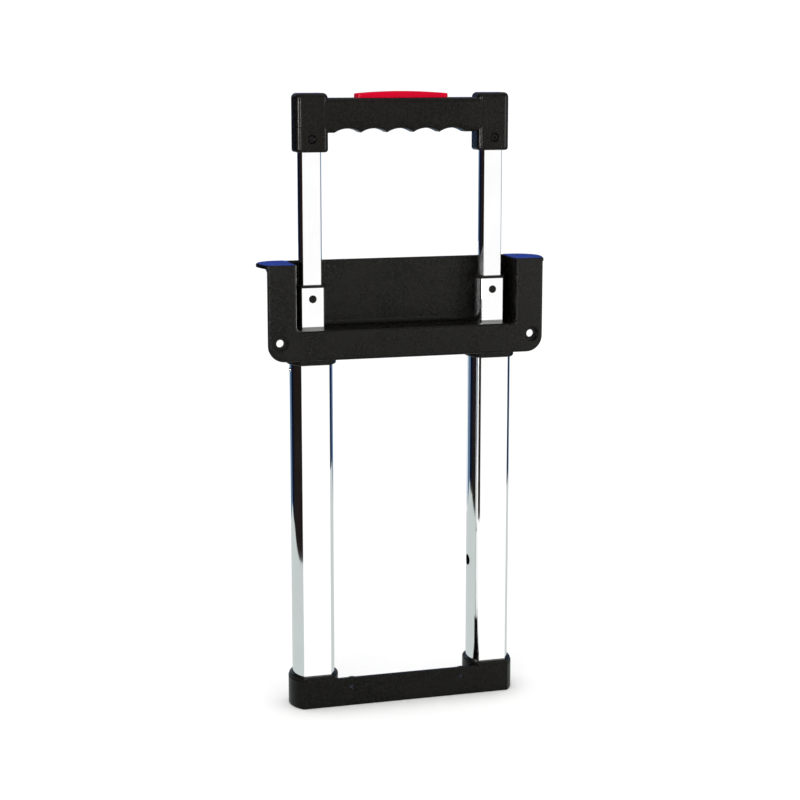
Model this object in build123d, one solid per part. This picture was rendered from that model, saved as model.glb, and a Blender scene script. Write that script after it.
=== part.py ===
from build123d import *
from math import atan2, degrees, hypot
import os

# Telescoping trolley handle of a rolling tool box. A moulded recess housing and a foot bracket are
# joined by two wide outer tubes. Two middle tubes slide in them, and a handle on two inner tubes
# slides in the middle ones. The handle's button pulls the lock pins in through two push rods.
# Millimetres, +Z up, front towards -Y. The origin is under the middle, at the foot's underside.
# Left-hand pieces are drawn, and right-hand ones are their mirror images.

# Overall layout
TUBE_X = 80.0            # centre of each leg of tubes, left and right of the middle plane
TUBE_Y = 2.0             # all three stages share this mid-depth
FRONT_Y = -21.0          # front face of the housing
REAR_Y = 21.0            # rear plane of sockets, foot and wing tops
RIGHT_LIFT = 3.2         # the right middle tube stands this much higher than the left
FIT = 0.05               # gap on each side between parts that are fixed together
SLIDE = 0.3              # gap on each side between parts that slide

# Tube stages: flat front and back, bulging sides
OUTER = dict(half_flat=12.15, depth=32.0, bulge=6.1)
MIDDLE = dict(half_flat=9.3, depth=18.0, bulge=3.2)
INNER = dict(half_flat=7.65, depth=14.4, bulge=2.3)
OUTER_WALL = 1.2
MIDDLE_WALL = 1.0
INNER_WALL = 1.0
OUTER_Z = (3.1, 326.5)
MIDDLE_Z = (67.3, 367.3)
INNER_Z = (193.0, 500.0)
STOP_HOLES_Z = (95.5, 323.0)     # the lock pin's holes in the middle tube, folded and pulled out

# Foot bracket
FOOT_HEIGHT = 25.3
FOOT_COLLAR_TOP = 28.3
SOCKET_WALL = 3.0
FOOT_PLATE = 3.0
FOOT_HOLE_X = 50.0
FOOT_HOLE_Z = 17.0
FOOT_HOLE_R = 2.25
FOOT_PAD_R = 8.9         # round pad in the plate that just breaks its top edge
FOOT_BOSS_R = 4.6
FOOT_BOSS_LENGTH = 10.0
FOOT_RIB_HEIGHT = 7.0
FOOT_RIBS_X = (-25, 0, 25)
FOOT_FRONT = TUBE_Y - OUTER["depth"] / 2 - SOCKET_WALL - 0.6

# Recess housing
HOUSING_HALF = 121.5
HOUSING_BOTTOM = 307.0
HOUSING_TOP = 388.6
SOCKET_BOTTOM = 302.5
FLOOR_Z = 332.5
WALL = 3.0
PLATE = 3.5
RECESS_HALF = 97.0
RECESS_BACK = 16.0
WING_WALL_X = 114.0
FLARE_X = 126.5
CORNER_R = 14.0
WING_RIB_Z = (358.0, 360.5)
FLOOR_RIBS_X = (-36, 0, 36)
RIB_HALF = 1.25
HOUSING_HOLE_X = 111.0
HOUSING_HOLE_Z = 322.8
HOUSING_HOLE_R = 3.3
COUNTERBORE_R = 6.5
COUNTERBORE_DEPTH = 3.0

# Grip
GRIP_FRONT = -9.0
GRIP_BACK = 13.0
LEG_HALF = 14.0
LEG_X = 79.4
LEG_BOTTOM = 480.5
LEG_TOP = 529.4
BAR_TOP = 525.3
BAR_BOTTOM = 496.4
FINGER_PITCH = 22.95
FINGER_DEPTH = 3.4
FINGERS = 5
FINGER_SHIFT = -2.2      # the row of hollows sits a little to the left
FINGER_ROUND = 5.0       # rounding of each hollow's front and rear edges
GRIP_SCREW_Z = 491.4
GRIP_SCREW_DEPTH = 2.7   # depth of the round recess over each grip screw
SPLIT_Y = TUBE_Y
SHELL_SCREW_X = (-60.0, -12.0, 12.0, 60.0)
SHELL_SCREW_Z = 504.2

# Button and its linkage
BUTTON_HALF = 39.8
BUTTON_TOP = 530.6
BUTTON_CROWN = 1.8
BUTTON_Y = (-5.0, 9.0)
PRESS = 3.5
PIN_PULL = 2.5
YOKE_Z = (510.5, 515.0)
BUTTON_SPRING_X = 25.0
ROD_WIDTH = 10.0
ROD_THICK = 2.0
LOCK_PIN_Z = 203.0
LOCK_PIN_R = 3.0
SHOE_Z = (49.3, 67.3)
SHOE_PLUG = 10.5         # how far the shoe reaches up into the middle tube
SHOE_PIN_Z = 58.3
SHOE_PIN_R = 4.5
LOCK_HOLE_Z = 118.4
LOCK_HOLE_R = 4.8
RIVET_Z = 297.2
NUB_DROP = 9.5
NUB_R = 3.25
COLLAR_FLANGE = 2.2

BUSH_Z = (290.0, 329.4)
SOCKET_SCREW_Z = 315.0
PLUG_Z = (3.1, 14.0)

ALONG_X = Rotation(0, 90, 0)
ALONG_Y = Rotation(90, 0, 0)
FAR = 200.0              # reaches past the whole assembly


def outline(stage, grow=0.0):
    """Tube section about its own centre, grown or shrunk by an even amount."""
    flat = stage["half_flat"]
    half = stage["depth"] / 2
    side = flat + stage["bulge"]
    line = Line((-flat, -half), (flat, -half))
    line += ThreePointArc((flat, -half), (side, 0), (flat, half))
    line += Line((flat, half), (-flat, half))
    line += ThreePointArc((-flat, half), (-side, 0), (-flat, -half))
    face = make_face(line)
    return offset(face, grow, kind=Kind.INTERSECTION) if grow else face


def column(stage, bottom, top, grow=0.0):
    """Upright solid of a tube section, on the left tubes' centre line."""
    section = Pos(-TUBE_X, TUBE_Y, bottom) * outline(stage, grow)
    return extrude(section, amount=top - bottom, dir=(0, 0, 1))


def tube(stage, wall, span):
    """Open tube of one stage between two heights."""
    bottom, top = span
    return column(stage, bottom, top) - column(stage, bottom - 1, top + 1, -wall)


def block(x, y, z):
    """Box from its lowest and highest values along each axis."""
    centre = Pos((x[0] + x[1]) / 2, (y[0] + y[1]) / 2, (z[0] + z[1]) / 2)
    return centre * Box(x[1] - x[0], y[1] - y[0], z[1] - z[0])


def rod_x(x, y, z, radius):
    """Cylinder along X between two x values."""
    return Pos((x[0] + x[1]) / 2, y, z) * ALONG_X * Cylinder(radius, x[1] - x[0])


def rod_y(x, y, z, radius):
    """Cylinder along Y between two y values."""
    return Pos(x, (y[0] + y[1]) / 2, z) * ALONG_Y * Cylinder(radius, y[1] - y[0])


def rod_z(x, y, z, radius):
    """Upright cylinder between two z values."""
    return Pos(x, y, (z[0] + z[1]) / 2) * Cylinder(radius, z[1] - z[0])


def other_side(shape):
    """The same piece for the right side."""
    return mirror(shape, about=Plane.YZ)


def both_sides(shape):
    """The piece and its mirror image."""
    return shape + other_side(shape)


def coil(radius, wire, length, turns):
    """Compression spring standing on the XY plane."""
    pitch = (length - 2 * wire) / turns
    path = Helix(pitch, length - 2 * wire, radius)
    start = Plane(path @ 0, z_dir=path % 0)
    return Pos(0, 0, wire) * sweep(start * Circle(wire), path=path, is_frenet=True)


def socket(bottom, top):
    """Collar round an outer tube, with a rounded free edge."""
    return column(OUTER, bottom, top, SOCKET_WALL)


# ---------------------------------------------------------------- frame: tubes and bracket

def outer_tube():
    """Outer stage tube, with the lock hole on its inner side and small holes for rivet and screw."""
    body = tube(OUTER, OUTER_WALL, OUTER_Z)
    inner_side = -TUBE_X + OUTER["half_flat"]
    outer_side = -TUBE_X - OUTER["half_flat"]
    body -= rod_x((inner_side, inner_side + 10), TUBE_Y, LOCK_HOLE_Z, LOCK_HOLE_R)
    body -= rod_x((outer_side - 10, outer_side), TUBE_Y, RIVET_Z, 1.35)
    body -= rod_y(-TUBE_X, (TUBE_Y + 5, REAR_Y), SOCKET_SCREW_Z, 1.9)
    return body


def guide_bush():
    """Plastic guide in the outer tube's mouth, which the middle tube runs through."""
    bottom, top = BUSH_Z
    body = column(OUTER, bottom, OUTER_Z[1], -OUTER_WALL - FIT)
    body += column(OUTER, OUTER_Z[1], top)
    body -= column(MIDDLE, bottom - 1, top + 1, SLIDE)
    body -= rod_y(-TUBE_X, (TUBE_Y + 5, REAR_Y), SOCKET_SCREW_Z, 1.5)
    outer_side = -TUBE_X - OUTER["half_flat"]
    body -= rod_x((outer_side - 10, outer_side + 1.2), TUBE_Y, RIVET_Z, 1.3)
    return body


def bush_rivet():
    """Small dome-headed rivet through the tube's outer side into the bush."""
    face = -TUBE_X - OUTER["half_flat"] - OUTER["bulge"]
    head = rod_x((face - 0.8, face - FIT), TUBE_Y, RIVET_Z, 1.9)
    rim = head.faces().sort_by(Axis.X)[0].edges()
    return fillet(rim, 0.6) + rod_x((face - 0.1, face + 5.0), TUBE_Y, RIVET_Z, 1.2)


def tube_plug():
    """Plug in the outer tube's foot end that the foot screw bites into."""
    bottom, top = PLUG_Z
    body = column(OUTER, bottom, top, -OUTER_WALL - FIT)
    hollow = column(OUTER, bottom + 2.5, top + 1, -OUTER_WALL - 3)
    hollow -= rod_z(-TUBE_X, TUBE_Y, (bottom, top + 2), 4.5)
    return body - hollow - rod_z(-TUBE_X, TUBE_Y, (bottom - 1, top - 1), 1.6)


def plug_screw():
    """Countersunk screw from under the foot into the plug."""
    head = Pos(-TUBE_X, TUBE_Y, 1.15) * Cone(3.6, 1.6, 2.3)
    drive = block((-TUBE_X - 2, -TUBE_X + 2), (TUBE_Y - 0.4, TUBE_Y + 0.4), (-1, 0.9))
    drive += block((-TUBE_X - 0.4, -TUBE_X + 0.4), (TUBE_Y - 2, TUBE_Y + 2), (-1, 0.9))
    return head + rod_z(-TUBE_X, TUBE_Y, (2.2, 12.0), 1.55) - drive


def foot_bracket():
    """Plate and bottom flange between two tube sockets, with two screw bosses."""
    ends = both_sides(socket(0, FOOT_COLLAR_TOP))
    ends = fillet(ends.faces().sort_by(Axis.Z)[-2:].edges(), 1.4)
    plate_back = FOOT_FRONT + FOOT_PLATE
    plate = block((-TUBE_X, TUBE_X), (FOOT_FRONT, plate_back), (0, FOOT_HEIGHT))
    skirt = column(OUTER, 0, FOOT_HEIGHT, SOCKET_WALL + 0.6)
    skirt -= block((-TUBE_X + 12, 0), (FRONT_Y, REAR_Y + 2), (-1, FOOT_HEIGHT + 1))
    skirt = both_sides(skirt) - block((-FAR, FAR), (REAR_Y, REAR_Y + 5), (-1, FOOT_HEIGHT + 1))
    flange = block((-TUBE_X, TUBE_X), (FOOT_FRONT + 0.6, REAR_Y), (0, FOOT_PLATE))
    body = ends + skirt + plate + flange
    boss_end = FOOT_FRONT + 0.6 + FOOT_BOSS_LENGTH
    for x in (-FOOT_HOLE_X, FOOT_HOLE_X):
        body += rod_y(x, (FOOT_FRONT, plate_back), FOOT_HOLE_Z, FOOT_PAD_R)
        body += rod_y(x, (FOOT_FRONT + 0.6, boss_end), FOOT_HOLE_Z, FOOT_BOSS_R)
    for x in FOOT_RIBS_X:
        body += block((x - RIB_HALF, x + RIB_HALF), (FOOT_FRONT + 0.6, REAR_Y - 3), (0, FOOT_RIB_HEIGHT))
    bottom = body.faces().sort_by(Axis.Z)[0]
    body = fillet(bottom.outer_wire().edges(), 1.2)
    for x in (-FOOT_HOLE_X, FOOT_HOLE_X):
        body -= rod_y(x, (FRONT_Y, REAR_Y + 1), FOOT_HOLE_Z, FOOT_HOLE_R)
    pocket = column(OUTER, OUTER_Z[0], FOOT_COLLAR_TOP + 1, FIT)
    pocket += rod_z(-TUBE_X, TUBE_Y, (-1, 4), 1.8)
    pocket += Pos(-TUBE_X, TUBE_Y, 1.15) * Cone(3.7, 1.7, 2.4)
    return body - both_sides(pocket)


# ---------------------------------------------------------------- frame: housing

def wing_top():
    """Plan of the left wing's top plate, flared beyond the front plate towards the rear."""
    line = Polyline((-99, FRONT_Y), (-99, REAR_Y), (-108, REAR_Y))
    line += ThreePointArc((-108, REAR_Y), (-120.5, 15.0), (-FLARE_X, 2))
    line += ThreePointArc((-FLARE_X, 2), (-125, -9), (-HOUSING_HALF, FRONT_Y))
    line += Line((-HOUSING_HALF, FRONT_Y), (-99, FRONT_Y))
    plan = make_face(line)
    plan = fillet(plan.vertices().sort_by(Axis.X)[0], 6)
    plan = fillet(plan.vertices().filter_by_position(Axis.X, -122, -107), 3)
    return plan


def horn_web():
    """Concave fillet from the wing's outer wall out to the flared top plate."""
    reach = 9.0
    x, z = -WING_WALL_X, HOUSING_TOP - WALL
    line = Polyline((x, z - reach), (x, z), (x - reach, z))
    line += ThreePointArc((x - reach, z), (x - reach * 0.293, z - reach * 0.293), (x, z - reach))
    section = Plane.XZ * make_face(line)
    return Pos(0, RECESS_BACK, 0) * extrude(section, amount=RECESS_BACK - FRONT_Y - PLATE)


def corner_cup():
    """Cup behind the front plate that a mounting screw's head sinks into."""
    back = FRONT_Y + COUNTERBORE_DEPTH + 2.5
    return rod_y(-HOUSING_HOLE_X, (FRONT_Y + 1, back), HOUSING_HOLE_Z, COUNTERBORE_R + 2)


def housing():
    """Front plate with a cut-out, a tray behind it for the folded grip, two wings and two sockets."""
    face = Rectangle(2 * HOUSING_HALF, HOUSING_TOP - HOUSING_BOTTOM, align=(Align.CENTER, Align.MIN))
    face = fillet(face.vertices().group_by(Axis.Y)[0], CORNER_R)
    face = fillet(face.vertices().group_by(Axis.Y)[-1], 4)
    opening = Rectangle(2 * RECESS_HALF, 100, align=(Align.CENTER, Align.MIN))
    opening = fillet(opening.vertices().group_by(Axis.Y)[0], 4)
    face -= Pos(0, FLOOR_Z - HOUSING_BOTTOM) * opening
    start = Plane((0, FRONT_Y, HOUSING_BOTTOM), x_dir=(1, 0, 0), z_dir=(0, -1, 0))
    front = extrude(start * face, -PLATE)
    front = fillet(front.faces().sort_by(Axis.Y)[0].edges(), 2.2)
    top = extrude(Pos(0, 0, HOUSING_TOP - WALL) * wing_top(), WALL)
    rim = top.faces().sort_by(Axis.Z)[-1].edges().sort_by(Axis.X)[:-1]
    top = fillet(rim, 1.2)
    shell = front + both_sides(top)

    behind = FRONT_Y + 2.5
    inner, outer = RECESS_HALF, RECESS_HALF + WALL - 0.5
    tray = block((-outer, outer), (behind, RECESS_BACK + 2.5), (FLOOR_Z - WALL, HOUSING_TOP))
    cavity = block((-inner, inner), (FRONT_Y - 5, RECESS_BACK), (FLOOR_Z, HOUSING_TOP + 20))
    back_edges = cavity.edges().filter_by(Axis.Z).group_by(Axis.Y)[-1]
    floor_edges = cavity.faces().sort_by(Axis.Z)[0].edges().group_by(Axis.Y)[1:]
    cavity = fillet([*back_edges, *[e for g in floor_edges for e in g]], 4)
    tray -= cavity
    lip = tray.edges().filter_by(Axis.X).group_by(Axis.Z)[-1]
    shell += fillet(lip, 1.1)

    wing = block((-WING_WALL_X, -outer), (behind, RECESS_BACK), (FLOOR_Z - WALL, HOUSING_TOP - 1))
    wing -= block((-WING_WALL_X + 2.5, -outer), (behind + 1, REAR_Y), (FLOOR_Z, HOUSING_TOP - WALL))
    wing += block((-WING_WALL_X, -inner - 2), (behind, RECESS_BACK - 3), WING_RIB_Z)
    wing += horn_web() + corner_cup()

    bar = block((-outer, outer), (RECESS_BACK, RECESS_BACK + 2.5), (HOUSING_BOTTOM, FLOOR_Z))
    rib_z = (HOUSING_BOTTOM + 1, FLOOR_Z - 1)
    for x in FLOOR_RIBS_X:
        bar += block((x - RIB_HALF, x + RIB_HALF), (behind, RECESS_BACK + 1), rib_z)
    collar = socket(SOCKET_BOTTOM, FLOOR_Z - 1)
    collar = fillet(collar.faces().sort_by(Axis.Z)[0].edges(), 1.4)
    body = shell + both_sides(wing) + bar + both_sides(collar)

    bore = column(OUTER, SOCKET_BOTTOM - 1, BUSH_Z[1] + 0.1, FIT)
    bore += column(MIDDLE, BUSH_Z[1], FLOOR_Z + 1, SLIDE)
    bore += rod_y(-TUBE_X, (TUBE_Y + 5, REAR_Y + 1), SOCKET_SCREW_Z, 1.9)
    bore += rod_y(-TUBE_X, (REAR_Y - 1.9, REAR_Y + 1), SOCKET_SCREW_Z, 3.6)
    cup_floor = FRONT_Y + COUNTERBORE_DEPTH
    bore += rod_y(-HOUSING_HOLE_X, (FRONT_Y - 1, cup_floor), HOUSING_HOLE_Z, COUNTERBORE_R)
    bore += rod_y(-HOUSING_HOLE_X, (FRONT_Y - 1, 0), HOUSING_HOLE_Z, HOUSING_HOLE_R)
    return body - both_sides(bore)


def socket_screw():
    """Pan-head screw through the socket's rear wall, the tube and the bush."""
    x, z = -TUBE_X, SOCKET_SCREW_Z
    head = rod_y(x, (REAR_Y - 1.8, REAR_Y - 0.1), z, 3.4)
    head = fillet(head.faces().sort_by(Axis.Y)[-1].edges(), 0.8)
    shank = rod_y(x, (REAR_Y - 8.5, REAR_Y - 1.7), z, 1.45)
    drive_y = (REAR_Y - 1.1, REAR_Y)
    drive = block((x - 1.8, x + 1.8), drive_y, (z - 0.4, z + 0.4))
    drive += block((x - 0.4, x + 0.4), drive_y, (z - 1.8, z + 1.8))
    return head + shank - drive


# ---------------------------------------------------------------- middle stage

def middle_tube():
    """Middle stage tube, with a front hole for its collar's nub and side holes for the lock pin."""
    body = tube(MIDDLE, MIDDLE_WALL, MIDDLE_Z)
    inner_side = -TUBE_X + MIDDLE["half_flat"]
    body -= rod_y(-TUBE_X, (FRONT_Y, TUBE_Y - 5), MIDDLE_Z[1] - NUB_DROP, NUB_R + 0.1)
    for z in STOP_HOLES_Z:
        body -= rod_x((inner_side - 1, inner_side + 8), TUBE_Y, z, LOCK_PIN_R + 0.3)
    return body


def top_collar():
    """Black collar on the middle tube's mouth, held by a round nub in the tube's front."""
    top = MIDDLE_Z[1]
    flange = column(MIDDLE, top + FIT, top + COLLAR_FLANGE, 0.9)
    flange = fillet(flange.faces().sort_by(Axis.Z)[-1].edges(), 0.5)
    skirt = column(MIDDLE, top - 16, top + 1, -MIDDLE_WALL - FIT)
    bore = column(INNER, top - 20, top + 5, SLIDE)
    front = TUBE_Y - MIDDLE["depth"] / 2
    z = top - NUB_DROP
    nub = rod_y(-TUBE_X, (front + 0.05, front + MIDDLE_WALL + 0.3), z, NUB_R)
    nub -= rod_y(-TUBE_X, (front, front + 0.35), z, 2.0)
    nub += rod_y(-TUBE_X, (front + 0.05, front + 0.6), z, 1.1)
    return flange + skirt - bore + nub


def lock_shoe():
    """Block on the middle tube's foot that runs in the outer tube and holds the sprung pin."""
    bottom, top = SHOE_Z
    body = column(OUTER, bottom, top - FIT, -OUTER_WALL - SLIDE)
    body = chamfer(body.faces().sort_by(Axis.Z)[0].edges(), 1.0)
    body += column(MIDDLE, top - 1, top + SHOE_PLUG, -MIDDLE_WALL - FIT)
    body -= rod_x((-TUBE_X - 9, -TUBE_X + 20), TUBE_Y, SHOE_PIN_Z, SHOE_PIN_R + 0.08)
    return body


def shoe_pin():
    """Sprung lock pin of the middle stage, with a domed tip towards the middle plane."""
    tip = -TUBE_X + OUTER["half_flat"] + OUTER["bulge"] - OUTER_WALL - SLIDE
    body = rod_x((tip - 12, tip), TUBE_Y, SHOE_PIN_Z, SHOE_PIN_R)
    return fillet(body.faces().sort_by(Axis.X)[-1].edges(), 1.5)


def shoe_spring():
    """Spring behind the shoe pin, lying along X."""
    return Pos(-TUBE_X - 8.8, TUBE_Y, SHOE_PIN_Z) * ALONG_X * coil(3.2, 0.5, 9.4, 6)


# ---------------------------------------------------------------- handle stage

def inner_tube():
    """Inner stage tube, with holes for the lock pin and the grip screw."""
    body = tube(INNER, INNER_WALL, INNER_Z)
    inner_side = -TUBE_X + INNER["half_flat"]
    body -= rod_x((inner_side - 1, inner_side + 8), TUBE_Y, LOCK_PIN_Z, LOCK_PIN_R + 0.2)
    body -= rod_y(-TUBE_X, (FRONT_Y, TUBE_Y), GRIP_SCREW_Z, 1.6)
    return body


def lock_block():
    """Guide block in the inner tube's foot for the push rod and the lock pin."""
    bottom, top = INNER_Z[0], INNER_Z[0] + 30
    body = column(INNER, bottom, top, -INNER_WALL - FIT)
    body += column(MIDDLE, bottom - 3, bottom - FIT, -MIDDLE_WALL - SLIDE)
    body += column(INNER, bottom - 1, bottom + 1, -INNER_WALL - FIT)
    x, y, z = -TUBE_X, TUBE_Y, LOCK_PIN_Z
    body -= block((x - 5.3, x + 5.3), (y - 1.3, y + 1.3), (bottom - 2, top + 1))
    body -= block((x - 6.2, x + 5.2), (y - 3.3, y + 3.3), (z - 3.3, z + 3.3))
    return body - rod_x((x + 5, x + 12), y, z, LOCK_PIN_R + 0.08)


def lock_pin():
    """Round pin with a forked tail round the rod, and a cross pin in the rod's sloping slot."""
    tip = -TUBE_X + MIDDLE["half_flat"] + MIDDLE["bulge"] - MIDDLE_WALL - SLIDE
    x, y, z = -TUBE_X, TUBE_Y, LOCK_PIN_Z
    body = rod_x((x - 3, tip), y, z, LOCK_PIN_R)
    body = fillet(body.faces().sort_by(Axis.X)[-1].edges(), 0.8)
    fork_root = x + ROD_WIDTH / 2 + PIN_PULL + 0.4
    body -= block((x - 4, fork_root), (y - 1.25, y + 1.25), (z - 4, z + 4))
    return body + rod_y(x - 1, (y - 2.2, y + 2.2), z, 1.0)


def finger_hollow():
    """Spool that cuts one finger hollow: it widens at both ends, which rounds the bar's edges."""
    half_pitch = FINGER_PITCH / 2
    radius = (half_pitch**2 + FINGER_DEPTH**2) / (2 * FINGER_DEPTH)
    half = (GRIP_BACK - GRIP_FRONT) / 2 - 0.1
    inner = half - FINGER_ROUND
    swing = FINGER_ROUND * 0.5**0.5
    wide = radius + FINGER_ROUND
    bend_x, bend_y = wide - swing, inner + swing
    side = Line((radius, -inner), (radius, inner))
    side += ThreePointArc((radius, inner), (bend_x, bend_y), (wide, half))
    end = half + 1
    side += Polyline((wide, half), (wide, end), (0, end), (0, -end), (wide, -end), (wide, -half))
    side += ThreePointArc((wide, -half), (bend_x, -bend_y), (radius, -inner))
    spool = revolve(make_face(side), axis=Axis.Y)
    return Pos(0, (GRIP_FRONT + GRIP_BACK) / 2, BAR_BOTTOM + FINGER_DEPTH - radius) * spool


def grip_body():
    """Solid outside shape of the grip: two legs and a finger-shaped bar."""
    leg_x = (-LEG_X - LEG_HALF, -LEG_X + LEG_HALF)
    leg = block(leg_x, (GRIP_FRONT, GRIP_BACK), (LEG_BOTTOM, LEG_TOP))
    leg = fillet(leg.edges().filter_by(Axis.Z), 4.5)
    leg = fillet(leg.faces().sort_by(Axis.Z)[-1].edges(), 4.2)
    leg = fillet(leg.faces().sort_by(Axis.Z)[0].edges(), 2.4)

    width = GRIP_BACK - GRIP_FRONT - 0.2
    section = Rectangle(width, BAR_TOP - BAR_BOTTOM, align=(Align.CENTER, Align.MIN))
    section = fillet(section.vertices().group_by(Axis.Y)[-1], 4.5)
    section = fillet(section.vertices().group_by(Axis.Y)[0], FINGER_ROUND)
    middle_y = (GRIP_FRONT + GRIP_BACK) / 2
    start = Plane((-LEG_X, middle_y, BAR_BOTTOM), x_dir=(0, 1, 0), z_dir=(1, 0, 0))
    bar = extrude(start * section, 2 * LEG_X)

    first = -(FINGERS - 1) / 2 * FINGER_PITCH + FINGER_SHIFT
    hollow = finger_hollow()
    for i in range(FINGERS):
        bar -= Pos(first + i * FINGER_PITCH, 0, 0) * hollow
    return both_sides(leg) + bar


def grip_shape():
    """Hollowed grip, before it is split into shells."""
    body = grip_body()
    y = TUBE_Y
    low_y, high_y = BUTTON_Y
    slot = block((-BUTTON_HALF - 0.4, BUTTON_HALF + 0.4), (low_y - 0.4, high_y + 0.4), (515, 535))
    slot = fillet(slot.edges().filter_by(Axis.Z), 3)
    room = block((-BUTTON_HALF - 2, BUTTON_HALF + 2), (low_y - 1.4, high_y + 1.4), (506, 522.6))
    channel = block((-TUBE_X - 7, TUBE_X + 7), (y - 5.4, y + 5.4), (502.0, 521.6))
    well = column(INNER, INNER_Z[1] - 1, 505, -1.5)
    seat = column(INNER, LEG_BOTTOM - 1, INNER_Z[1] + FIT, FIT)
    body -= slot + room + channel + both_sides(well + seat)
    screws = rod_y(-TUBE_X, (GRIP_FRONT - 1, GRIP_FRONT + GRIP_SCREW_DEPTH), GRIP_SCREW_Z, 3.9)
    screws += rod_y(-TUBE_X, (GRIP_FRONT - 1, y), GRIP_SCREW_Z, 1.8)
    return body - both_sides(screws)


def grip_shell(front):
    """Front or rear shell, with its share of the bosses for the shell screws."""
    y = (GRIP_FRONT - 5, SPLIT_Y - 0.05) if front else (SPLIT_Y, GRIP_BACK + 5)
    body = grip_shape()
    for x in SHELL_SCREW_X:
        body += rod_y(x, (GRIP_FRONT + 2, GRIP_BACK - 2), SHELL_SCREW_Z, 2.5)
    for x in SHELL_SCREW_X:
        body -= rod_y(x, (GRIP_FRONT + 3, SPLIT_Y), SHELL_SCREW_Z, 1.2)
        body -= rod_y(x, (SPLIT_Y - 1, GRIP_BACK + 1), SHELL_SCREW_Z, 1.5)
        body -= rod_y(x, (GRIP_BACK - 2.6, GRIP_BACK + 1), SHELL_SCREW_Z, 2.7)
    return body & block((-FAR, FAR), y, (LEG_BOTTOM - 5, BUTTON_TOP + 5))


def screw_y(x, head_y, z, inward, head_r, shank_r, length):
    """Pan-head screw along Y. inward is +1 when it goes in towards +Y."""
    ends = sorted((head_y, head_y + inward * 1.5))
    head = rod_y(x, ends, z, head_r)
    outer_face = head.faces().sort_by(Axis.Y)[0 if inward > 0 else -1]
    head = fillet(outer_face.edges(), 0.6)
    head += rod_y(x, sorted((head_y + inward, head_y + inward * length)), z, shank_r)
    bar_y = sorted((head_y - inward * 0.1, head_y + inward * 0.8))
    head -= block((x - 1.6, x + 1.6), bar_y, (z - 0.35, z + 0.35))
    return head - block((x - 0.35, x + 0.35), bar_y, (z - 1.6, z + 1.6))


def grip_screws():
    """Screws that hold the grip's legs to the inner tubes, low in their recesses."""
    head_y = GRIP_FRONT + GRIP_SCREW_DEPTH - 1.5
    return both_sides(screw_y(-TUBE_X, head_y, GRIP_SCREW_Z, 1, 3.4, 1.5, 5.2))


def shell_screws():
    """Screws from the rear that hold the two shells together."""
    screws = [screw_y(x, GRIP_BACK - 0.4, SHELL_SCREW_Z, -1, 2.5, 1.1, 16) for x in SHELL_SCREW_X]
    return Compound(children=screws)


# ---------------------------------------------------------------- button linkage

def button():
    """Long crowned button with a flange that keeps it under the grip's roof."""
    half, ends_z, bottom = BUTTON_HALF, BUTTON_TOP - BUTTON_CROWN, YOKE_Z[1] + FIT
    line = Polyline((half, ends_z), (half, bottom), (-half, bottom), (-half, ends_z))
    line += ThreePointArc((-half, ends_z), (0, BUTTON_TOP), (half, ends_z))
    side = Plane((0, BUTTON_Y[1], 0), x_dir=(1, 0, 0), z_dir=(0, -1, 0)) * make_face(line)
    body = extrude(side, BUTTON_Y[1] - BUTTON_Y[0])
    body = fillet(body.edges().filter_by(Axis.Z), 2.6)
    crown = body.faces().sort_by(lambda f: f.center().Z)[-1]
    body = fillet(crown.edges(), 1.3)
    return body + block((-half - 1.6, half + 1.6), (BUTTON_Y[0] - 1, BUTTON_Y[1] + 1), (518.4, 521.0))


def button_yoke():
    """Cross bar that carries the button and pulls both rods down."""
    low, high = YOKE_Z
    body = block((-TUBE_X - 5.5, TUBE_X + 5.5), (TUBE_Y - 3, TUBE_Y + 3), (low, high))
    for x in (-BUTTON_SPRING_X, BUTTON_SPRING_X):
        body += rod_z(x, TUBE_Y, (low - 1.5, low + 0.5), 1.9)
    return body


def push_rod():
    """Flat rod from the yoke to the lock pin, with a sloping cam slot at its foot."""
    x, y = -TUBE_X, TUBE_Y
    half_x, half_y = ROD_WIDTH / 2, ROD_THICK / 2
    body = block((x - half_x, x + half_x), (y - half_y, y + half_y), (LOCK_PIN_Z - 5, YOKE_Z[0] - FIT))
    slot = SlotCenterToCenter(hypot(PIN_PULL, PRESS), 2.3)
    middle = (x - 1 - PIN_PULL / 2, y + 5, LOCK_PIN_Z + PRESS / 2)
    place = Plane(middle, x_dir=(1, 0, 0), z_dir=(0, -1, 0))
    return body - extrude(place * Rot(0, 0, degrees(atan2(PRESS, -PIN_PULL))) * slot, 10)


def button_springs():
    """Two springs between the grip's floor and the yoke."""
    floor_z = 502.1
    spring = Pos(-BUTTON_SPRING_X, TUBE_Y, floor_z) * coil(2.7, 0.35, YOKE_Z[0] - 0.1 - floor_z, 5)
    return both_sides(spring)


def right_middle(shape):
    """Right-hand copy of a middle-stage piece, at that stage's own height."""
    return Pos(0, 0, RIGHT_LIFT) * other_side(shape)


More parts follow.
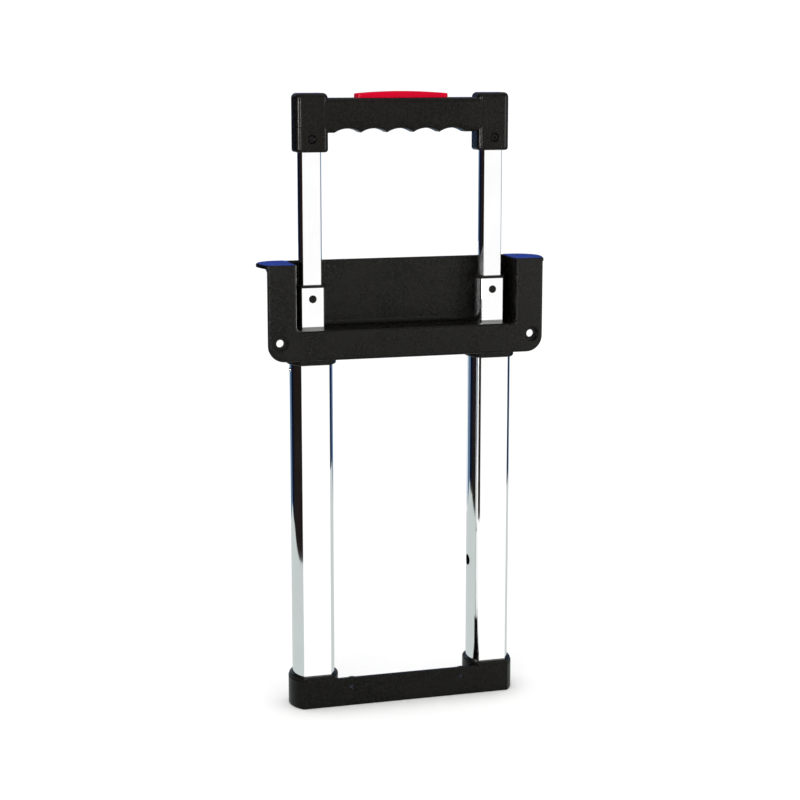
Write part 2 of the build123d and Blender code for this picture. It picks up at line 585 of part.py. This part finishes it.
def build_parts():
    """Every node's solid under the node's name."""
    tube_outer, bush, plug = outer_tube(), guide_bush(), tube_plug()
    tube_middle, collar, shoe = middle_tube(), top_collar(), lock_shoe()
    pin, spring = shoe_pin(), shoe_spring()
    tube_inner, guide, bolt, rod = inner_tube(), lock_block(), lock_pin(), push_rod()
    return {
        "housing": housing(),
        "foot_bracket": foot_bracket(),
        "outer_tube_left": tube_outer,
        "outer_tube_right": other_side(tube_outer),
        "guide_bush_left": bush,
        "guide_bush_right": other_side(bush),
        "tube_plug_left": plug,
        "tube_plug_right": other_side(plug),
        "plug_screws": both_sides(plug_screw()),
        "socket_screws": both_sides(socket_screw()),
        "bush_rivets": both_sides(bush_rivet()),
        "middle_tube_left": tube_middle,
        "middle_tube_right": right_middle(tube_middle),
        "top_collar_left": collar,
        "top_collar_right": right_middle(collar),
        "lock_shoe_left": shoe,
        "lock_shoe_right": right_middle(shoe),
        "shoe_pin_left": pin,
        "shoe_pin_right": right_middle(pin),
        "shoe_spring_left": spring,
        "shoe_spring_right": right_middle(spring),
        "inner_tube_left": tube_inner,
        "inner_tube_right": other_side(tube_inner),
        "lock_block_left": guide,
        "lock_block_right": other_side(guide),
        "lock_pin_left": bolt,
        "lock_pin_right": other_side(bolt),
        "grip_front_shell": grip_shell(front=True),
        "grip_rear_shell": grip_shell(front=False),
        "grip_screws": grip_screws(),
        "shell_screws": shell_screws(),
        "button": button(),
        "button_yoke": button_yoke(),
        "push_rod_left": rod,
        "push_rod_right": other_side(rod),
        "button_springs": button_springs(),
    }


os.makedirs("parts", exist_ok=True)
for name, shape in build_parts().items():
    export_step(shape, f"parts/{name}.step")
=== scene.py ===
"""Looks of the telescoping trolley handle: materials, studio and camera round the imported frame."""
import math

import bpy
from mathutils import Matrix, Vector

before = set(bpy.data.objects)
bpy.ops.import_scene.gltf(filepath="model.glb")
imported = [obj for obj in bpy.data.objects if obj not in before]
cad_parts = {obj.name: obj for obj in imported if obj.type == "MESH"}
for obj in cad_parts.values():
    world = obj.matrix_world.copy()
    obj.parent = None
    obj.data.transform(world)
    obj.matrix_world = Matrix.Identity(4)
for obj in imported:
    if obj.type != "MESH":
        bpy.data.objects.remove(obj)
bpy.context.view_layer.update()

# Camera, in metres and degrees
CAMERA_PLACE = (-0.44698, -1.52471, 0.55414)
CAMERA_AZIMUTH = -16.29
CAMERA_PITCH = 10.27
CAMERA_LENS = 83.8          # millimetres
CAMERA_SENSOR = 36          # millimetres
CAMERA_CLIP = (0.05, 100)

# Studio
WORLD_LIGHT = 1.1
FLOOR_HALF = 60.0
BACKDROP = ((-0.45, 0.67), (0.69, 0.67))     # ends of the backdrop on the floor
BACKDROP_WIDE = 1.5         # half width of the backdrop's upper part
BACKDROP_TOP = 1.1
SKY_EDGE = 0.50             # height where the backdrop turns from grey-blue to plain grey
BLUE_DEPTH = 0.66           # blue and white cards stand just in front of the backdrop
WHITE_DEPTH = 0.655
CARD_TOP = 1.3
GREY_FLOOR_NEAR = -0.02     # front edge of the grey floor card
GREY_FLOOR_HALF = 2.0
GREY_FLOOR_LIFT = 0.002
LIGHTS_AIM = (0, 0, 0.3)
GLINTS_AIM = (0, 0, 0.45)

# Colours of the object
CHROME = (0.94, 0.943, 0.946)
BLACK = (0.0020, 0.0019, 0.0015)
GRIP_BLACK = (0.0025, 0.0022, 0.0017)
NYLON = (0.030, 0.030, 0.031)
BRIGHT_STEEL = (0.78, 0.785, 0.79)
ZINC_STEEL = (0.62, 0.63, 0.64)
SPRING_STEEL = (0.50, 0.51, 0.53)
SCREW_BLACK = (0.012, 0.012, 0.013)
RED = (0.64, 0.0003, 0.024)
DEEP_RED = (0.56, 0.0002, 0.019)
RUBBED_RED = (0.70, 0.004, 0.035)

# Colours of the studio
PALE = (0.95, 0.95, 0.945)
WHITE = (1, 1, 1)
WARM_WHITE = (1, 0.98, 0.95)
WARMER_WHITE = (1, 0.97, 0.93)
GREY_BLUE = (0.12, 0.21, 0.34)
SKY_GREY = (0.16, 0.19, 0.26)
BRIGHT_BLUE = (0.06, 0.22, 2.2)
SOFT_WHITE = (0.90, 0.93, 0.95)
FLOOR_GREY = (0.60, 0.65, 0.64)
NIGHT_BLUE = (0.003, 0.006, 0.020)
NIGHT_BLUE_GRIP = (0.004, 0.006, 0.020)
NIGHT_BLUE_RIGHT = (0.006, 0.018, 0.060)
WARM_DARK = (0.014, 0.010, 0.009)
WARM_DARK_FRONT = (0.012, 0.010, 0.009)
DARK_GREY = (0.02, 0.02, 0.02)


# ---------------------------------------------------------------- camera

def make_camera():
    """Camera at the place and angle of the reference view."""
    camera = bpy.data.objects.new("camera", bpy.data.cameras.new("camera"))
    bpy.context.scene.collection.objects.link(camera)
    camera.location = CAMERA_PLACE
    camera.rotation_euler = (math.radians(90 - CAMERA_PITCH), 0, math.radians(CAMERA_AZIMUTH))
    camera.data.lens = CAMERA_LENS
    camera.data.sensor_width = CAMERA_SENSOR
    camera.data.clip_start, camera.data.clip_end = CAMERA_CLIP
    bpy.context.scene.camera = camera


# ---------------------------------------------------------------- node helpers

class Shader:
    """A material's node tree, with short calls for the nodes that these materials share."""

    def __init__(self, name):
        self.material = bpy.data.materials.get(name) or bpy.data.materials.new(name)
        self.material.use_nodes = True
        self.nodes = self.material.node_tree.nodes
        self.links = self.material.node_tree.links
        self.nodes.clear()
        self.bsdf = self.nodes.new("ShaderNodeBsdfPrincipled")
        output = self.nodes.new("ShaderNodeOutputMaterial")
        self.links.new(self.bsdf.outputs[0], output.inputs[0])
        self.place = self.nodes.new("ShaderNodeTexCoord").outputs["Object"]

    def set(self, **values):
        """Set values on the shader's own sockets."""
        for name, value in values.items():
            self.bsdf.inputs[name.replace("_", " ")].default_value = value

    def link(self, output, name):
        self.links.new(output, self.bsdf.inputs[name])

    def stretched(self, scale):
        """Object place scaled by a different amount along each axis."""
        node = self.nodes.new("ShaderNodeMapping")
        node.inputs["Scale"].default_value = scale
        self.links.new(self.place, node.inputs["Vector"])
        return node.outputs[0]

    def noise(self, scale, detail=3.0, roughness=0.55, place=None):
        """Cloudy noise from 0 to 1; the scale is in cells per metre."""
        node = self.nodes.new("ShaderNodeTexNoise")
        node.inputs["Scale"].default_value = scale
        node.inputs["Detail"].default_value = detail
        node.inputs["Roughness"].default_value = roughness
        self.links.new(place or self.place, node.inputs["Vector"])
        return node.outputs["Fac"]

    def cells(self, scale):
        """Small round pits, as distances to scattered points."""
        node = self.nodes.new("ShaderNodeTexVoronoi")
        node.inputs["Scale"].default_value = scale
        self.links.new(self.place, node.inputs["Vector"])
        return node.outputs["Distance"]

    def spread(self, value, low, high, to_low, to_high):
        """Map a value from one range to another, clamped."""
        node = self.nodes.new("ShaderNodeMapRange")
        for name, number in zip(("From Min", "From Max", "To Min", "To Max"), (low, high, to_low, to_high)):
            node.inputs[name].default_value = number
        self.links.new(value, node.inputs["Value"])
        return node.outputs[0]

    def mix(self, factor, first, second):
        """Mix of two colours, or of a node's colour output with a colour."""
        node = self.nodes.new("ShaderNodeMix")
        node.data_type = "RGBA"
        self.links.new(factor, node.inputs["Factor"])
        for socket, colour in ((node.inputs[6], first), (node.inputs[7], second)):
            if isinstance(colour, tuple):
                socket.default_value = (*colour, 1)
            else:
                self.links.new(colour, socket)
        return node.outputs[2]

    def add(self, first, second, operation="ADD"):
        """Sum of two values or outputs, or their product with operation MULTIPLY."""
        node = self.nodes.new("ShaderNodeMath")
        node.operation = operation
        for socket, value in zip(node.inputs, (first, second)):
            if isinstance(value, (int, float)):
                socket.default_value = value
            else:
                self.links.new(value, socket)
        return node.outputs[0]

    def bump(self, height, distance, strength=1.0, normal=None):
        node = self.nodes.new("ShaderNodeBump")
        node.inputs["Distance"].default_value = distance
        node.inputs["Strength"].default_value = strength
        self.links.new(height, node.inputs["Height"])
        if normal:
            self.links.new(normal, node.inputs["Normal"])
        return node.outputs[0]

    def soft_edges(self, radius):
        """Normal with every edge rounded by the radius."""
        node = self.nodes.new("ShaderNodeBevel")
        node.samples = 6
        node.inputs["Radius"].default_value = radius
        return node.outputs[0]

    def edge_mask(self, rounded):
        """1 on edges and 0 on flats, from how far the rounded normal leans from the true one."""
        true = self.nodes.new("ShaderNodeNewGeometry").outputs["Normal"]
        dot = self.nodes.new("ShaderNodeVectorMath")
        dot.operation = "DOT_PRODUCT"
        self.links.new(rounded, dot.inputs[0])
        self.links.new(true, dot.inputs[1])
        return self.spread(dot.outputs["Value"], 0.995, 0.80, 0.0, 1.0)


def shade(tone, factor):
    """The colour made darker or lighter by the factor."""
    return tuple(min(1.0, channel * factor) for channel in tone)


# ---------------------------------------------------------------- materials

def moulded_plastic(name, tone, grain, relief, edge_radius, gloss):
    """Black moulding: spark-eroded grain with lighter flecks of painted sheen, handling marks, rounded and
    slightly polished edges.
    """
    s = Shader(name)
    rounded = s.soft_edges(edge_radius)
    edges = s.edge_mask(rounded)
    patches = s.noise(14, 4)
    grain_sheen_flecks = s.noise(grain * 0.6, 2)
    worn = s.add(edges, s.spread(s.noise(60, 4), 0.42, 0.62, 0.15, 0.9), "MULTIPLY")
    colour = s.mix(s.spread(patches, 0.35, 0.68, 0, 1), shade(tone, 0.5), shade(tone, 1.7))
    # Lighter flecks in the colour: partly the grain's own mottling, partly painted sheen of light catching
    # the grain.
    colour = s.mix(s.spread(grain_sheen_flecks, 0.42, 0.66, 0, 0.8), colour, shade(tone, 4.6))
    colour = s.mix(s.add(worn, 0.55, "MULTIPLY"), colour, shade(tone, 3.2))
    s.link(colour, "Base Color")
    rough = s.spread(s.noise(35, 5), 0.3, 0.7, gloss, gloss + 0.14)
    s.link(s.add(rough, s.add(worn, -0.12, "MULTIPLY")), "Roughness")
    height = s.add(s.cells(grain), s.noise(grain * 2.2, 3))
    s.link(s.bump(height, relief, 0.7, rounded), "Normal")
    s.set(Specular_IOR_Level=0.095)


def polished_metal(name, tone, roughness, brush, smudge):
    """Polished metal with faint lengthwise brushing and handling smudges."""
    s = Shader(name)
    along = s.stretched((1, 1, 0.012))
    lines = s.noise(2600, 3, 0.6, along)
    marks = s.noise(22, 5, 0.6)
    s.link(s.mix(s.spread(marks, 0.35, 0.7, 0, 1), tone, shade(tone, 0.955)), "Base Color")
    rough = s.spread(marks, 0.45, 0.75, roughness, roughness + smudge)
    s.link(s.add(rough, s.spread(lines, 0.45, 0.75, 0, smudge * 0.6)), "Roughness")
    s.link(s.bump(lines, 0.000002, brush), "Normal")
    s.set(Metallic=1.0)


def turned_metal(name, tone, roughness, edge_radius=0.00018):
    """Plated or drawn steel of screws, pins, rods and springs."""
    s = Shader(name)
    stain = s.noise(240, 4)
    s.link(s.mix(s.spread(stain, 0.35, 0.7, 0, 1), tone, shade(tone, 0.72)), "Base Color")
    s.link(s.spread(s.noise(900, 3), 0.3, 0.7, roughness, roughness + 0.16), "Roughness")
    s.link(s.bump(s.noise(1800, 4), 0.00001, 0.4, s.soft_edges(edge_radius)), "Normal")
    s.set(Metallic=1.0)


def plain_moulding(name, tone, roughness):
    """Matt nylon of the bushes, plugs, shoes and guide blocks."""
    s = Shader(name)
    flow = s.noise(70, 4, 0.6, s.stretched((1, 1, 0.35)))
    s.link(s.mix(s.spread(flow, 0.35, 0.7, 0, 1), shade(tone, 0.8), shade(tone, 1.25)), "Base Color")
    s.link(s.spread(s.noise(160, 4), 0.3, 0.7, roughness, roughness + 0.12), "Roughness")
    s.link(s.bump(s.noise(1500, 3), 0.00003, 0.5, s.soft_edges(0.00025)), "Normal")
    s.set(Specular_IOR_Level=0.35)


def gloss_button(name):
    """Glossy red button, a little rubbed on its edges."""
    s = Shader(name)
    rounded = s.soft_edges(0.0005)
    rub = s.add(s.edge_mask(rounded), s.spread(s.noise(120, 4), 0.4, 0.65, 0.1, 0.7), "MULTIPLY")
    colour = s.mix(s.spread(s.noise(18, 3), 0.35, 0.7, 0, 1), RED, DEEP_RED)
    s.link(s.mix(rub, colour, RUBBED_RED), "Base Color")
    s.link(s.spread(s.noise(55, 6), 0.35, 0.75, 0.16, 0.34), "Roughness")
    s.link(s.bump(s.noise(420, 3), 0.00002, 0.25, rounded), "Normal")
    s.set(Specular_IOR_Level=0.04)


def make_materials():
    """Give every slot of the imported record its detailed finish."""
    moulded_plastic("black_moulding", BLACK, 1100, 0.00015, 0.0008, 0.20)
    moulded_plastic("grip_moulding", GRIP_BLACK, 900, 0.00006, 0.0005, 0.17)
    moulded_plastic("collar_plastic", BLACK, 1500, 0.00008, 0.0003, 0.30)
    polished_metal("polished_tube", CHROME, 0.035, 0.25, 0.05)
    plain_moulding("nylon", NYLON, 0.5)
    turned_metal("bright_steel", BRIGHT_STEEL, 0.14)
    turned_metal("zinc_steel", ZINC_STEEL, 0.26)
    turned_metal("spring_steel", SPRING_STEEL, 0.22)
    turned_metal("black_screw", SCREW_BLACK, 0.10, 0.0009)
    gloss_button("red_button")


# ---------------------------------------------------------------- studio

def panel(name, corners):
    """Flat four-cornered stage panel."""
    mesh = bpy.data.meshes.new(name)
    mesh.from_pydata(corners, [], [(0, 1, 2, 3)])
    piece = bpy.data.objects.new(name, mesh)
    bpy.context.scene.collection.objects.link(piece)
    return piece


def floor():
    """Pale paper floor that runs past the picture on every side."""
    half = FLOOR_HALF
    piece = panel("floor", [(-half, -half, 0), (half, -half, 0), (half, half, 0), (-half, half, 0)])
    s = Shader("floor_paper")
    tone = s.mix(s.spread(s.noise(3, 4), 0.3, 0.7, 0, 1), PALE, shade(PALE, 1.03))
    s.link(tone, "Base Color")
    s.link(s.bump(s.noise(260, 3), 0.0002, 0.3), "Normal")
    s.set(Roughness=0.85, Specular_IOR_Level=0.15)
    piece.data.materials.append(s.material)


def reflected(piece, tone):
    """Make a stage panel a plain glowing card that only reflections see."""
    material = bpy.data.materials.new(piece.name)
    material.use_nodes = True
    nodes, links = material.node_tree.nodes, material.node_tree.links
    nodes.clear()
    emission = nodes.new("ShaderNodeEmission")
    emission.inputs["Color"].default_value = (*tone, 1)
    emission.inputs["Strength"].default_value = 1.0
    output = nodes.new("ShaderNodeOutputMaterial")
    links.new(emission.outputs[0], output.inputs[0])
    piece.data.materials.append(material)
    piece.visible_camera = False
    piece.visible_diffuse = False
    piece.visible_shadow = False
    piece.visible_transmission = False


def card(name, start, end, tone, bottom=0.0, top=CARD_TOP):
    """Upright card between two points on the floor."""
    (x0, y0), (x1, y1) = start, end
    corners = [(x0, y0, bottom), (x1, y1, bottom), (x1, y1, top), (x0, y0, top)]
    reflected(panel(name, corners), tone)


def cards():
    """Grey-blue backdrop, dark cards at both sides and a grey floor; the right front stays white."""
    left, right = BACKDROP
    back = left[1]
    side_left, front_left = (-0.57, 0.42), (-0.57, -0.25)
    corner_front, corner_right = (-1.1, -1.7), (-0.15, -2.3)
    card("backdrop_low", left, right, GREY_BLUE, top=SKY_EDGE)
    card("backdrop_high", (-BACKDROP_WIDE, back), (BACKDROP_WIDE, back), SKY_GREY, SKY_EDGE, BACKDROP_TOP)
    for name, start, end in (("blue_left", -0.04, 0.11), ("blue_right", 0.26, 0.48)):
        card(name, (start, BLUE_DEPTH), (end, BLUE_DEPTH), BRIGHT_BLUE, bottom=0.47, top=0.60)
    card("white_middle", (-0.09, WHITE_DEPTH), (0.12, WHITE_DEPTH), SOFT_WHITE, top=0.34)
    card("dark_back_left", left, side_left, NIGHT_BLUE, top=SKY_EDGE)
    card("dark_left", side_left, front_left, WARM_DARK)
    card("dark_front_left", front_left, corner_front, WARM_DARK_FRONT)
    card("dark_front", corner_front, corner_right, DARK_GREY)
    card("dark_back_right", right, (0.90, 0.10), NIGHT_BLUE_RIGHT)
    card("dark_behind_grip", (-0.45, 0.45), (-0.13, 0.45), NIGHT_BLUE_GRIP, bottom=0.34, top=0.62)
    near, wide, lift = GREY_FLOOR_NEAR, GREY_FLOOR_HALF, GREY_FLOOR_LIFT
    outline = [(-wide, near), (wide, near), (wide, back), (-wide, back)]
    reflected(panel("grey_floor", [(x, y, lift) for x, y in outline]), FLOOR_GREY)


def area_light(name, place, aim, size, power, tone, glints_only=False):
    """Rectangular light; one for glints only shows in reflections and lights nothing else."""
    light = bpy.data.lights.new(name, "AREA")
    light.shape = "RECTANGLE"
    light.size, light.size_y = size
    light.energy = power
    light.color = tone
    piece = bpy.data.objects.new(name, light)
    bpy.context.scene.collection.objects.link(piece)
    piece.location = place
    piece.rotation_euler = (Vector(aim) - Vector(place)).to_track_quat("-Z", "Y").to_euler()
    piece.visible_diffuse = not glints_only


def studio():
    """White surroundings, two large lights and two small ones that draw glints on the edges."""
    world = bpy.data.worlds.new("studio")
    world.use_nodes = True
    background = world.node_tree.nodes["Background"]
    background.inputs["Color"].default_value = (*WHITE, 1)
    background.inputs["Strength"].default_value = WORLD_LIGHT
    bpy.context.scene.world = world
    area_light("key", (-1.1, -1.6, 1.5), LIGHTS_AIM, (0.8, 0.8), 4, WARM_WHITE)
    area_light("fill", (1.30, -1.35, 0.40), LIGHTS_AIM, (0.8, 1.2), 24, WARMER_WHITE, True)
    area_light("flash", (-0.36, -1.60, 0.56), GLINTS_AIM, (0.04, 0.10), 12, WHITE, True)
    area_light("left_glint", (-1.20, -0.90, 0.45), GLINTS_AIM, (0.05, 0.20), 20, WHITE, True)


make_camera()
make_materials()
floor()
cards()
studio()
bpy.context.scene.view_settings.view_transform = "Standard"
